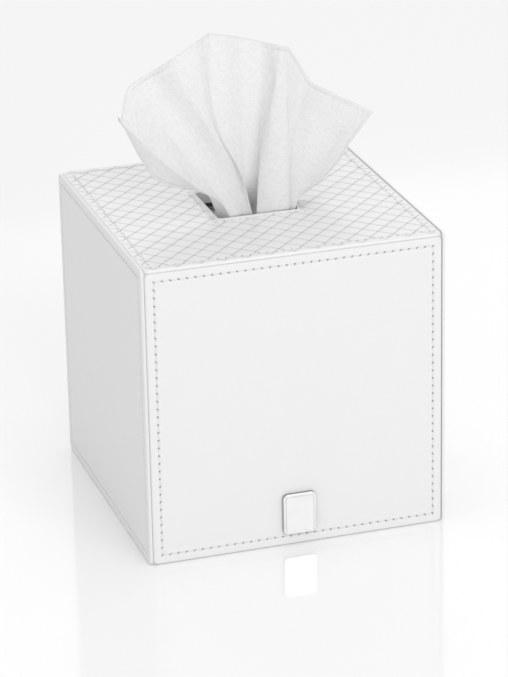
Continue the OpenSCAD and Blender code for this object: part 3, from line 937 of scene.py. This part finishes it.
@dataclass
class TopPanel:
    """The embossed top panel: a diamond lattice of sharp creases and soft valleys, and its opening.

    The sharp creases run to the back right, the soft valleys to the front right, both at 45 degrees.
    """

    palette: Palette
    diamond: float = 10.2
    cells: int = 20
    crease_w: float = 0.52
    crease_d: float = 0.28
    valley_w: float = 0.60
    valley_d: float = 0.21
    pillow: float = 0.07
    plain: float = 0.25
    blend_w: float = 1.2
    opening_w: float = OPENING_W
    bead_r: float = BEAD_R
    clear: float = 0.05
    opening_inset: float = 2.2
    stitch: Stitch = field(default_factory=Stitch)

    def __post_init__(self) -> None:
        """Takes the panel's size and the top of its board from the part."""
        low, high = node_box("top_cover")
        self.board_top = node_box("top_board")[1][2]
        self.width, self.depth = (high - low)[:2]
        self.panel = Panel(self.width, self.depth)

    def lines(self, half: float) -> Array:
        """Places of the grid's lines from -half to half: even steps, then the rounded edge's own."""
        step = self.diamond / self.cells
        whole = math.floor((half - self.panel.edge_r - self.plain) / step)
        even = np.arange(-whole, whole + 1) * step
        edge = half - self.panel.edge_r * (1 - np.cos(np.linspace(np.pi / 2, 0, 6)))
        return np.concatenate([-edge[::-1], even, edge])

    def emboss(self, x: Array, y: Array) -> tuple[Array, Array]:
        """Depth of the lattice at each point, and its painted shade mark.

        Each family of lines repeats every diamond times the root of one half. A crease is a narrow V,
        a valley one wave of a squared cosine, and each diamond between them is crowned a little.

        Args:
            x, y: the points, from the middle of the top.

        Returns:
            The depth in millimetres, and the painted shade mark from 0 to 1, darkest in the creases and
            valleys.
        """
        gap = self.diamond * ROOT_HALF
        to_crease, to_valley = (np.abs(steps - np.round(steps - 0.5) - 0.5) * gap
                                for steps in ((y - x) * ROOT_HALF / gap, (y + x) * ROOT_HALF / gap))
        crease = np.clip(1 - to_crease / self.crease_w, 0, 1)
        valley = np.where(to_valley < self.valley_w, np.cos(to_valley / self.valley_w * np.pi / 2) ** 2, 0)
        crown = (2 * to_crease / gap) * (2 * to_valley / gap)
        depth = np.maximum(self.crease_d * crease, self.valley_d * valley) + self.pillow * (1 - crown)
        # Painted shade in the creases and valleys.
        return depth, np.clip(0.62 * crease ** 3 + 0.55 * valley ** 3, 0, 1)

    def surface(self) -> Surface:
        """Works out the closed shell on one grid, whose cells in the opening are left out."""
        xs, ys = self.lines(self.width / 2), self.lines(self.depth / 2)
        grid_x, grid_y = np.meshgrid(xs, ys)
        half_w, half_d = self.width / 2, self.depth / 2
        inward = np.minimum(half_w - np.abs(grid_x), half_d - np.abs(grid_y))
        z = self.panel.level(inward) + self.panel.swell
        depth, recess = self.emboss(grid_x, grid_y)
        inner = np.clip((inward - self.plain) / self.blend_w, 0, 1)
        z = z - depth * inner
        recess = recess * inner
        wide, deep = self.panel.seams
        around = Seam(2 * self.ring_half)
        for seam_x, seam_y in ((wide, deep), (around, around)):
            row_x, row_y = seam_x.length / 2, seam_y.length / 2
            along_x = np.abs(np.abs(grid_y) - row_y) < np.abs(np.abs(grid_x) - row_x)
            within = np.where(along_x, np.abs(grid_x) < row_x + 1, np.abs(grid_y) < row_y + 1)
            off = np.where(along_x, np.abs(grid_y) - row_y, np.abs(grid_x) - row_x)
            to_hole = np.where(along_x, seam_x.phase(grid_x), seam_y.phase(grid_y))
            # The sewn rows add their painted shade in needle holes and channels.
            change, sewn_shade = self.panel.sewn(off, to_hole)
            z = z + np.where(within, change - self.panel.swell * self.panel.beside(off), 0)
            recess = np.maximum(recess, np.where(within, sewn_shade, 0))
        radius = np.maximum(self.panel.corner_r - inward, 0)
        x, y = rounded_corners(grid_x, grid_y, half_w - inward, half_d - inward, radius)
        return self.shell(x, y, z, recess, xs, ys)

    @property
    def ring_half(self) -> float:
        """Half the side of the square of needle holes around the opening."""
        return self.opening_w / 2 + self.opening_inset

    def shell(self, x: Array, y: Array, z: Array, recess: Array, xs: Array, ys: Array) -> Surface:
        """Closes the embossed grid with its outer wall, the wall of its opening and a flat back.

        Args:
            x, y, z: the grid's points, each of shape (rows, columns).
            recess: their marks of painted shade.
            xs, ys: the places of the grid's lines before the corners were rounded.

        Returns:
            The closed surface.
        """
        rows, columns = x.shape
        index = np.arange(rows * columns).reshape(rows, columns)
        hole = self.opening_w / 2 + self.bead_r + self.clear
        left, right = np.searchsorted(xs, -hole), np.searchsorted(xs, hole) - 1
        low, high = np.searchsorted(ys, -hole), np.searchsorted(ys, hole) - 1
        keep = np.ones((rows - 1, columns - 1), bool)
        keep[low:high, left:right] = False
        a, b, c, d = index[:-1, :-1], index[:-1, 1:], index[1:, 1:], index[1:, :-1]
        z_flat = z.ravel()
        rising = z_flat[a] + z_flat[c] < z_flat[b] + z_flat[d]
        one = np.where(rising[..., None], np.stack([a, b, c], -1), np.stack([a, b, d], -1))[keep]
        two = np.where(rising[..., None], np.stack([a, c, d], -1), np.stack([b, c, d], -1))[keep]
        outer = self.border(index, 0, rows - 1, 0, columns - 1)
        inner = self.border(index, low, high, left, right)
        points = np.stack([x, y, z], -1).reshape(-1, 3)
        drop = np.array([1, 1, 0])
        lower = np.concatenate([points[outer] * drop, points[inner] * drop])
        first = len(points)
        outer_low = np.arange(len(outer)) + first
        inner_low = np.arange(len(inner)) + first + len(outer)
        wall = band_faces(outer_low, outer)
        sleeve = band_faces(inner, inner_low)
        back = loop_bridge(outer_low, inner_low)[:, ::-1]
        marks = np.concatenate([recess.ravel(), np.zeros(len(lower))])
        faces = [np.concatenate([one, two]), wall, sleeve, back]
        return Surface(np.concatenate([points, lower]), faces, {"recess": marks}).trimmed()

    @staticmethod
    def border(index: Array, low: int, high: int, left: int, right: int) -> Array:
        """Indices of a rectangle's border in the grid, from its lower left corner, turning left."""
        return np.concatenate([index[low, left:right], index[low:high, right],
                               index[high, right:left:-1], index[high:low:-1, left]])

    def build(self) -> None:
        """Makes the embossed panel, the bead and sleeve of its opening, and both rings of stitches."""
        up = (0, 0, self.board_top)
        put("top_panel", self.surface().moved(up), self.palette.embossed,
            ("top_cover",), sharp=60.0)
        wide, deep = self.panel.seams
        around = 2 * self.ring_half
        level = self.panel.thickness - self.panel.swell
        for name, width, depth in (("top", wide.length, deep.length), ("opening", around, around)):
            put(f"{name}_stitches", self.stitch.ring(width, depth, level).moved(up), self.palette.thread,
                (f"{name}_stitching",))


def swept(path: Array, outward: Array, profile: Array) -> Surface:
    """Carries a closed profile along a closed flat path.

    Args:
        path: points of shape (n, 2), turning left.
        outward: outward direction at each.
        profile: points of shape (m, 2), turning left seen along the path. Each is its distance
            outwards from the path, and its height.

    Returns:
        The swept surface.
    """
    rows, columns = len(profile), len(path)
    place = path[None] + outward[None] * profile[:, :1, None]
    height = np.broadcast_to(profile[:, 1][:, None, None], (rows, columns, 1))
    first = np.arange(columns)
    seam = band_faces(first + (rows - 1) * columns, first)
    faces = np.concatenate([grid_faces(rows, columns, wrap=True), seam])
    return Surface(np.concatenate([place, height], -1).reshape(-1, 3), [faces])


@dataclass
class OpeningRim:
    """The leatherette turned down through the opening, with the bead around it, as one soft piece."""

    palette: Palette
    opening_w: float = OPENING_W
    corner_r: float = 1.4
    bead_r: float = BEAD_R
    bead_rise: float = 0.4
    sleeve_t: float = 1.0
    thickness: float = SKIN_T
    lip: float = 0.3

    def profile(self, board_t: float) -> Array:
        """Closed profile of the rim: outwards distance from the opening's clear edge, and height.

        It starts under the bead's outer foot, goes round the bead as a circle, down the sleeve's
        inner face, round its lower edge and back up behind the board.

        Args:
            board_t: thickness of the top board that the sleeve lines.

        Returns:
            Points of shape (m, 2), heights from the top of the board.
        """
        centre = np.array([self.bead_r, self.thickness + self.bead_rise - self.bead_r])
        angle = np.radians(np.linspace(-38, 205, 17))
        bead = centre + self.bead_r * np.stack([np.cos(angle), np.sin(angle)], -1)
        back = self.bead_r / 3
        bend = np.radians(np.linspace(180, 270, 5))
        round_edge = self.lip * np.stack([1 + np.cos(bend), 1 + np.sin(bend)], -1)
        inner_low = np.array([back, -board_t]) + round_edge
        outer = np.array([[back + self.sleeve_t, -board_t], [back + self.sleeve_t, self.thickness - 0.5]])
        inner_top = np.array([[back, self.thickness - 0.75]])
        return np.concatenate([bead, inner_top, inner_low, outer])

    def build(self) -> None:
        """Makes the rim."""
        board_low, board_high = node_box("top_board")
        profile = self.profile(board_high[2] - board_low[2])
        half = self.opening_w / 2
        path, outward = rounded_loop(half, half, self.corner_r, 24, 8)
        rim = swept(path, outward, profile)
        # Painted shade, deeper down the sleeve into the opening; the rim's darker colour is painted shade
        # too.
        rim.marks["recess"] = np.clip(-(rim.points[:, 2] + 0.2) / 3, 0, 0.25)
        put("opening_rim", rim.moved((0, 0, board_high[2])), self.palette.turned)


@dataclass
class Badge:
    """The small bare badge: a plated plate with a soft edge, a raised border and an enamel field."""

    palette: Palette
    corner_r: float = 2.2
    border: float = 1.2
    soft: float = 0.32
    enamel_t: float = 0.5
    sink: float = 0.15
    pin_d: float = 1.5
    pin_l: float = 4.0
    pin_root: float = 1.4
    pin_pitch: float = 10.0
    brim: float = 0.14

    def __post_init__(self) -> None:
        """Takes the badge's place and size from the part."""
        low, high = node_box("badge_plate")
        self.face = node_box("front_cover")[0][1]
        self.width, _, self.height = high - low
        self.thickness = self.face - low[1]
        self.middle = (low[2] + high[2]) / 2
        self.floor = self.thickness - self.sink - self.enamel_t

    def placed(self, local: Surface) -> Surface:
        """Stands a surface whose back is at z = 0 up on the front panel."""
        return local.moved((0, self.face, self.middle), UPRIGHT)

    def rings(self, inward: Array, upward: Array, least: float) -> Array:
        """Outlines of the badge, each set in by its own distance and at its own height.

        Args:
            inward, upward: the distances and the heights.
            least: smallest corner radius.

        Returns:
            Points of shape (rings, points, 3).
        """
        rings = []
        for into, up in zip(inward, upward):
            corner = max(self.corner_r - into, least)
            loop, _ = rounded_loop(self.width / 2 - into, self.height / 2 - into, corner, 12, 10)
            rings.append(np.column_stack([loop, np.full(len(loop), up)]))
        return np.stack(rings)

    def plate(self) -> Surface:
        """Works out the plate: rings from its back over the soft edge and the border to the floor of the
        field, with painted shade on its walls.
        """
        bend = np.linspace(0, np.pi / 2, 6)
        top, shoulder, step = self.thickness, self.thickness - self.soft, self.border
        inward = np.concatenate([[0.0], self.soft * (1 - np.cos(bend)), [step - self.brim],
                                 step - self.brim + self.brim * np.sin(bend), [step]])
        upward = np.concatenate([[0.0], shoulder + self.soft * np.sin(bend), [top],
                                 top - self.brim * (1 - np.cos(bend)), [self.floor]])
        rings = self.rings(inward, upward, 0.3)
        shell = capped(rings, (0, 0, 0), (0, 0, self.floor))
        # Painted shade: darkest at the wall's foot on the panel, none at the top, some round the field's
        # floor.
        wall = np.interp(upward, [0.0, shoulder, top], [0.85, 0.40, 0.0])
        wall[-1] = 0.35
        shell.marks["recess"] = np.concatenate([np.repeat(wall, rings.shape[1]), [0.9, 0.2]])
        return shell

    def pin(self, centre: float, around: int = 24, chamfer: float = 0.4, overlap: float = 0.02) -> Surface:
        """Works out one pin behind the plate, a closed rod with a chamfered end."""
        angle = np.linspace(0, 2 * np.pi, around, endpoint=False)
        tip = self.pin_root - self.pin_l
        height = np.array([[tip], [tip + chamfer], [overlap]])
        radius = np.array([[0.75], [1.0], [1.0]]) * self.pin_d / 2
        rings = np.stack([radius * np.cos(angle), centre + radius * np.sin(angle), height + 0 * angle], -1)
        rod = capped(rings, (0, centre, tip), (0, centre, overlap))
        rod.marks["recess"] = np.zeros(len(rod.points))
        return rod

    def field(self, play: float = 0.02) -> Surface:
        """Works out the enamel: a thin plate with a meniscus that rises a little to the border."""
        into = np.array([0.0, 0.0, 0.08, 0.2, 0.4, 0.8])
        up = self.thickness - self.sink + 0.07 * np.exp(-into / 0.15)
        up[0] = self.floor + 0.01
        return capped(self.rings(self.border + play + into, up, 0.25), (0, 0, up[0]), (0, 0, up[-1]))

    def build(self) -> None:
        """Makes the plate with its pins, and the enamel in it."""
        plate = self.plate().joined(*(self.pin(side * self.pin_pitch / 2) for side in (-1, 1)))
        put("badge_body", self.placed(plate), self.palette.badge_metal, ("badge_plate",))
        put("badge_field", self.placed(self.field()), self.palette.badge_enamel,
            ("badge_enamel",))


# What is inside

@dataclass
class Inside:
    """The walls, the carton, its film and its stack of tissues, which keep their own shapes."""

    palette: Palette

    def build(self) -> None:
        """Gives each of their nodes its finished material."""
        walls = ("left", "right", "front", "back", "top")
        finishes = {f"{wall}_board": self.palette.fibreboard for wall in walls}
        finishes |= {"tissue_carton": self.palette.carton, "carton_film": self.palette.film,
                     "tissue_stack": self.palette.folded}
        for node, material in finishes.items():
            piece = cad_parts[node]
            piece.data.materials.clear()
            piece.data.materials.append(material)
            LOG.info("%s: dressed", node)


@dataclass(frozen=True)
class Fold:
    """One fold line of the pulled tissue, through five places at even shares of its height.

    Attributes:
        base: its place in the plane of the opening, from the opening's middle.
        low, middle, high, end: its places at one, two, three and four quarters, up from that plane.
        rounded: 1 for a soft bend, 0 for a sharp crease, at its base and at its end.
    """

    base: tuple[float, float]
    low: Place
    middle: Place
    high: Place
    end: Place
    rounded: tuple[float, float] = (0.6, 0.6)


@dataclass(frozen=True)
class Dent:
    """A soft hollow or hump of the tissue: shares across and up, their widths, and its height."""

    across: float
    up: float
    wide: float
    tall: float
    height: float


FOLDS = (
    Fold((-16, -6.5), (-20.5, -7, 9), (-31, -4, 11.5), (-43.5, -1, 18.5), (-56, 2, 44.5)),
    Fold((-12.6, -16.8), (-17, -15.5, 7), (-28, -13, 15), (-41.5, -10, 27.5), (-56.5, -4, 44.5),
         (0.25, 0.25)),
    Fold((-11.3, -16.9), (-19.5, -14.5, 13), (-31, -12, 29), (-42, -7, 43.5), (-52.5, -2, 58), (0.6, 0.8)),
    Fold((-7.8, -16), (-16.5, -11, 19), (-24.5, -7, 34.5), (-34, -3, 50), (-41.5, 1, 63), (0.8, 0.8)),
    Fold((-5.6, -16.4), (-11.5, -13, 21), (-19, -11.5, 36.5), (-26, -8, 51.5), (-32.5, -4, 70), (0.8, 0.8)),
    Fold((-4, -16.6), (-8.5, -14, 20), (-16.5, -10.2, 38.5), (-20, -6, 56.5), (-21.5, -1.5, 75)),
    Fold((-2.6, -16.8), (-7, -15.5, 18.5), (-14.5, -11, 36.5), (-17.5, -7, 57), (-16, -3.5, 79), (0.12, 0.5)),
    Fold((-1, -8), (-6.5, -11, 16.5), (-8, -7.5, 35.5), (-8.5, -5.5, 55), (-8, -2, 77), (0.6, 0.8)),
    Fold((3, -2), (-4, -9, 14), (-3, -5, 34.5), (-2, -1, 53), (-1.5, 1.5, 74.5)),
    Fold((8, -2), (2.5, -9, 13.5), (5.5, -5, 33.5), (8.5, 0, 51.5), (9, 2, 71)),
    Fold((5, -8), (4.5, -11.5, 15.5), (8, -9.5, 36.5), (12, -5.9, 54), (13.5, -2.6, 70.5), (0.6, 0.7)),
    Fold((-0.4, -16.6), (1.5, -15, 16.5), (6, -12, 36.5), (12, -7.4, 54.5), (15.5, -3.2, 70), (0.3, 0.6)),
    Fold((13.8, -16.8), (14.5, -16, 17.5), (16, -13, 35), (17.5, -8.6, 52), (19.5, -4.2, 69), (0.15, 0.15)),
    Fold((15.2, -15.6), (16.5, -13.5, 17.5), (20.5, -7.5, 31.5), (26, -1, 42), (31.5, 3, 50), (0.35, 0.35)),
    Fold((17, -16.7), (21, -15.5, 13.5), (27, -12.5, 27), (32.5, -9, 38.5), (38, -4, 47), (0.8, 0.8)),
    Fold((17, -13.5), (26.5, -11, 9), (36, -8.5, 21), (43.5, -5.5, 30.5), (48.5, -1, 40.5), (0.8, 0.8)),
    Fold((16.4, -9), (30.5, -2, 3.5), (42, -1, 13), (50.5, 1, 23), (59, 0, 34)),
)


@dataclass
class PulledTissue:
    """The tissue that stands in the opening: a sheet that fans out along its fold lines.

    The lines are listed from the left side edge to the right one. Two of them lie behind the flat
    columns of cloth that stand at the front, as the hidden turn of a pleat does.
    """

    palette: Palette
    thickness: float = 0.24
    sheet_w: float = 160.0
    sheet_l: float = 78.0
    pinch_x: float = 0.95
    pinch_y: float = 0.33
    pinch_mid: float = -8.5
    per_fold: int = 14
    levels_up: int = 72
    levels_down: int = 14
    folds: tuple[Fold, ...] = FOLDS
    dents: tuple[Dent, ...] = (
        Dent(0.955, 0.74, 0.030, 0.05, -1.6),
        Dent(0.925, 0.60, 0.022, 0.07, 1.0),
        Dent(0.125, 0.70, 0.030, 0.10, -1.3),
        Dent(0.290, 0.78, 0.022, 0.08, 0.9),
        Dent(0.560, 0.55, 0.030, 0.06, 0.7),
    )
    ripples: tuple[tuple[float, float, float, float], ...] = (
        (0.50, 34, 5, 0.7), (0.32, 61, -9, 2.1), (0.20, 97, 14, 4.0), (0.16, 21, -26, 1.2))

    def __post_init__(self) -> None:
        """Takes the top of the cover and of the stack from the part."""
        self.top = node_box("top_board")[1][2] + SKIN_T
        self.foot = node_box("pulled_tissue")[0][2]

    def lines(self) -> Array:
        """Points of all fold lines at all levels, of shape (folds, levels, 3).

        Above the opening a line is a cubic curve from each of its five places to the next, whose
        tangent at a place is half the way between the places beside it. Below the opening the folds
        draw together in a straight way towards the slit.
        """
        knots = np.array([[(*f.base, 0), f.low, f.middle, f.high, f.end] for f in self.folds], float)
        slope = np.gradient(knots, axis=1)
        v = np.linspace(0, 1, self.levels_up + 1) * 4
        i = np.minimum(v.astype(int), 3)
        t = (v - i)[None, :, None]
        upper = hermite(knots[:, i], knots[:, i + 1], slope[:, i], slope[:, i + 1], t)
        x, y = knots[:, 0, None, :1], knots[:, 0, None, 1:2]
        s = np.linspace(1, 0, self.levels_down + 1)[None, :-1, None]
        z = (self.foot - self.top) * s + 0 * x
        y = y * (1 - s) + (y - self.pinch_mid) * self.pinch_y * s
        x = x * (1 - s * (1 - self.pinch_x))
        return np.concatenate([np.concatenate([x, y, z], -1), upper], 1)

    def sheet(self) -> tuple[Array, Array, Array]:
        """Smooth surface across the fold lines.

        Between two lines the surface is a cubic curve. Its tangent at a line is half the way between
        that line's neighbours, times how rounded the line is.

        Returns:
            The points of shape (levels, steps, 3), the share across and the share up.
        """
        lines = self.lines()
        count = len(self.folds)
        up = np.linspace(0, 1, lines.shape[1])
        ends = np.array([f.rounded for f in self.folds])[:, :, None, None]
        rounded = ends[:, 0] + (ends[:, 1] - ends[:, 0]) * up[:, None]
        before = lines[np.maximum(np.arange(count) - 1, 0)]
        after = lines[np.minimum(np.arange(count) + 1, count - 1)]
        tangent = rounded / 2 * (after - before)
        t = np.arange((count - 1) * self.per_fold + 1) / self.per_fold
        i = np.minimum(t.astype(int), count - 2)
        t = (t - i)[:, None, None]
        points = hermite(lines[i], lines[i + 1], tangent[i], tangent[i + 1], t)
        return points.transpose(1, 0, 2), np.linspace(0, 1, points.shape[0]), up

    @staticmethod
    def normals(points: Array) -> Array:
        """Unit normals of a grid of points, from the steps to its neighbours."""
        along = np.gradient(points, axis=1)
        up = np.gradient(points, axis=0)
        n = np.cross(along, up)
        return n / np.linalg.norm(n, axis=-1, keepdims=True)

    def crumpled(self, points: Array, across: Array, up: Array) -> Array:
        """Adds the small wrinkles that run out from the opening along the sheet, and its dents.

        The displacement along the normal is a sum of waves across the sheet whose phase drifts
        slowly upwards. It fades out in the opening, where the folds are held together. Each dent
        adds a hump that falls off as a bell curve both ways.

        Args:
            points: the smooth surface.
            across, up: shares from 0 to 1 along its two ways.

        Returns:
            The crumpled surface.
        """
        u, v = across[None], up[:, None]
        waves = sum(size * np.sin(a * u + b * v + c) for size, a, b, c in self.ripples)
        height = waves * 0.5 * np.clip((v - 0.2) / 0.35, 0, 1) ** 1.2
        for dent in self.dents:
            height = height + dent.height * bell(u - dent.across, dent.wide) * bell(v - dent.up, dent.tall)
        return points + self.normals(points) * height[..., None]

    def hem(self, points: Array) -> Array:
        """Mark of the plies' hem, a line at a fixed distance inside the upper edge and side edges, and of
        those edges: the tissue's relief and its painted shade follow it.
        """
        to_top = np.linalg.norm(np.diff(points, axis=0), axis=-1)[::-1].cumsum(0)[::-1]
        to_top = np.concatenate([to_top, np.zeros((1, points.shape[1]))])
        steps = np.linalg.norm(np.diff(points, axis=1), axis=-1)
        from_left = np.concatenate([np.zeros((points.shape[0], 1)), steps.cumsum(1)], 1)
        from_right = from_left[:, -1:] - from_left
        nearest = np.minimum(to_top, np.minimum(from_left, from_right))
        return np.clip(bell(nearest - 1.7, 0.4) + 0.9 * bell(nearest, 0.3), 0, 1)

    def build(self) -> None:
        smooth, across, up = self.sheet()
        middle = self.crumpled(smooth, across, up)
        normal = self.normals(middle)
        rows, columns = middle.shape[:2]
        front = middle + normal * self.thickness / 2
        behind = middle - normal * self.thickness / 2
        points = np.concatenate([front.reshape(-1, 3), behind.reshape(-1, 3)])
        index = np.arange(rows * columns).reshape(rows, columns)
        loop = TopPanel.border(index, 0, rows - 1, 0, columns - 1)
        half = rows * columns
        rim = band_faces(loop + half, loop)
        quads = grid_faces(rows, columns)
        u, v = np.meshgrid(across * self.sheet_w * MM, up * self.sheet_l * MM)
        uv = np.stack([u, v], -1).reshape(-1, 2)
        hem = self.hem(middle).ravel()
        surface = Surface(points, [quads, quads[:, ::-1] + half, rim], {"hem": np.tile(hem, 2)},
                          np.tile(uv, (2, 1)))
        piece = put("tissue_sheet", surface.moved((0, 0, self.top)), self.palette.tissue,
                    ("pulled_tissue",), sharp=75.0)


# Studio

@dataclass(frozen=True)
class View:
    """The photograph's viewpoint, solved from the box's own edges."""

    focal_px: float = 3217.16
    picture_w: int = 508
    picture_h: int = 677
    distance: float = 1431.14
    azimuth: float = -17.36
    elevation: float = 21.93
    roll: float = -1.18
    target: Place = (2.32, 0.0, 69.95)
    sensor: float = 36.0

    def build(self) -> None:
        """Makes the camera and uses it for the scene."""
        a, e = math.radians(self.azimuth), math.radians(self.elevation)
        back = Vector((math.sin(a) * math.cos(e), -math.cos(a) * math.cos(e), math.sin(e)))
        right = Vector((math.cos(a), math.sin(a), 0.0))
        up = back.cross(right)
        c, s = math.cos(math.radians(self.roll)), math.sin(math.radians(self.roll))
        level_right = c * right + s * up
        level_up = -s * right + c * up
        place = (Vector(self.target) + back * self.distance) * MM
        data = bpy.data.cameras.new("camera")
        data.sensor_width = self.sensor
        data.sensor_fit = "AUTO"
        data.lens = self.focal_px * self.sensor / max(self.picture_w, self.picture_h)
        data.clip_end = 50.0
        camera = bpy.data.objects.new("camera", data)
        camera.matrix_world = Matrix((
            (level_right.x, level_up.x, back.x, place.x),
            (level_right.y, level_up.y, back.y, place.y),
            (level_right.z, level_up.z, back.z, place.z),
            (0.0, 0.0, 0.0, 1.0)))
        bpy.context.scene.collection.objects.link(camera)
        bpy.context.scene.camera = camera


@dataclass(frozen=True)
class Softbox:
    """A large soft lamp: where it stands, where it points, its size, and its glow as seen in gloss."""

    name: str
    place: Place
    aim: Place
    width: float
    height: float
    glow: float

    def build(self) -> None:
        """Makes the lamp. Its power is its glow times pi times its area."""
        data = bpy.data.lights.new(self.name, "AREA")
        data.shape = "RECTANGLE"
        data.size = self.width
        data.size_y = self.height
        data.energy = self.glow * math.pi * self.width * self.height
        lamp = bpy.data.objects.new(self.name, data)
        lamp.location = self.place
        way = Vector(self.aim) - Vector(self.place)
        lamp.rotation_euler = way.to_track_quat("-Z", "Y").to_euler()
        lamp.visible_camera = False
        bpy.context.scene.collection.objects.link(lamp)


@dataclass
class Studio:
    """Glossy white floor, pale surroundings and soft lamps."""

    floor_half: float = 6.0
    floor_level: float = -0.0001
    floor_colour: Colour = (0.975, 0.975, 0.975)
    floor_ior: float = 1.75
    ambient: float = 0.72
    gloss: float = 0.80
    boxes: tuple[Softbox, ...] = (
        Softbox("key_front", (0.35, -1.82, 0.95), (0.0, 0.0, 0.08), 1.4, 1.2, 2.31),
        Softbox("fill_left", (-2.0, -0.7, 0.7), (0.0, 0.0, 0.08), 1.0, 1.0, 0.62),
        Softbox("overhead", (0.0, -0.2, 2.2), (0.0, 0.0, 0.0), 1.6, 1.2, 0.72),
        Softbox("back_low", (0.75, 2.4, 1.45), (0.75, 0.0, 1.45), 3.8, 2.30, 0.13),
        Softbox("back_middle", (0.75, 2.4, 1.675), (0.75, 0.0, 1.675), 3.7, 1.85, 0.42),
        Softbox("back_high", (0.75, 2.4, 1.90), (0.75, 0.0, 1.90), 3.6, 1.40, 0.22),
    )

    def floor(self) -> None:
        """Makes the floor, which keeps the shadow and mirrors the box softly."""
        h = self.floor_half
        mesh = bpy.data.meshes.new("floor")
        mesh.from_pydata([(-h, -h, self.floor_level), (h, -h, self.floor_level), (h, h, self.floor_level),
                          (-h, h, self.floor_level)], [], [(0, 1, 2, 3)])
        material = bpy.data.materials.new("floor")
        material.use_nodes = True
        g = Graph(material.node_tree)
        shader = g.add("ShaderNodeBsdfPrincipled", {"Base Color": rgba(self.floor_colour), "Roughness": 0.075,
                                                  "IOR": self.floor_ior})
        g.add("ShaderNodeOutputMaterial", {"Surface": shader.outputs[0]})
        mesh.materials.append(material)
        piece = bpy.data.objects.new("floor", mesh)
        bpy.context.scene.collection.objects.link(piece)
        piece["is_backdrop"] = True

    def world(self) -> None:
        """Makes surroundings that light softly, and that the camera and the gloss see in their own tones."""
        world = bpy.data.worlds.new("surroundings")
        world.use_nodes = True
        bpy.context.scene.world = world
        g = Graph(world.node_tree)
        path = g.add("ShaderNodeLightPath")
        seen = g.math("MAXIMUM", path.outputs["Is Camera Ray"], path.outputs["Is Transmission Ray"])
        seen = g.math("MULTIPLY_ADD", seen, 1.0 - self.ambient, self.ambient)
        strength = g.math("MULTIPLY_ADD", path.outputs["Is Glossy Ray"], self.gloss - self.ambient, seen)
        glow = g.add("ShaderNodeBackground", {"Color": (1, 1, 1, 1), "Strength": strength})
        g.add("ShaderNodeOutputWorld", {"Surface": glow.outputs[0]})

    def build(self) -> None:
        """Makes floor, surroundings and lamps."""
        self.floor()
        self.world()
        for box in self.boxes:
            box.build()
        bpy.context.scene.view_settings.view_transform = "Standard"


def keep_sizes() -> None:
    """Puts the part's box and the dressed model's box into plain lists of numbers, which are left unused."""
    def plain(box: tuple) -> list[list[float]]:
        """Gives a box as plain lists of numbers."""
        return [[float(x) for x in corner] for corner in box]

    {"part": plain(CAD_BOX), "dressed": plain(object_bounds())}


def main() -> None:
    """Builds the camera and studio, then the cover from its walls outwards, then its contents."""
    logging.basicConfig(level=logging.INFO, format="%(message)s")
    View().build()
    Studio().build()
    palette = Palette()
    WallPanels(palette).build()
    TopPanel(palette).build()
    OpeningRim(palette).build()
    Badge(palette).build()
    Inside(palette).build()
    PulledTissue(palette).build()
    keep_sizes()


if __name__ == "__main__":
    main()
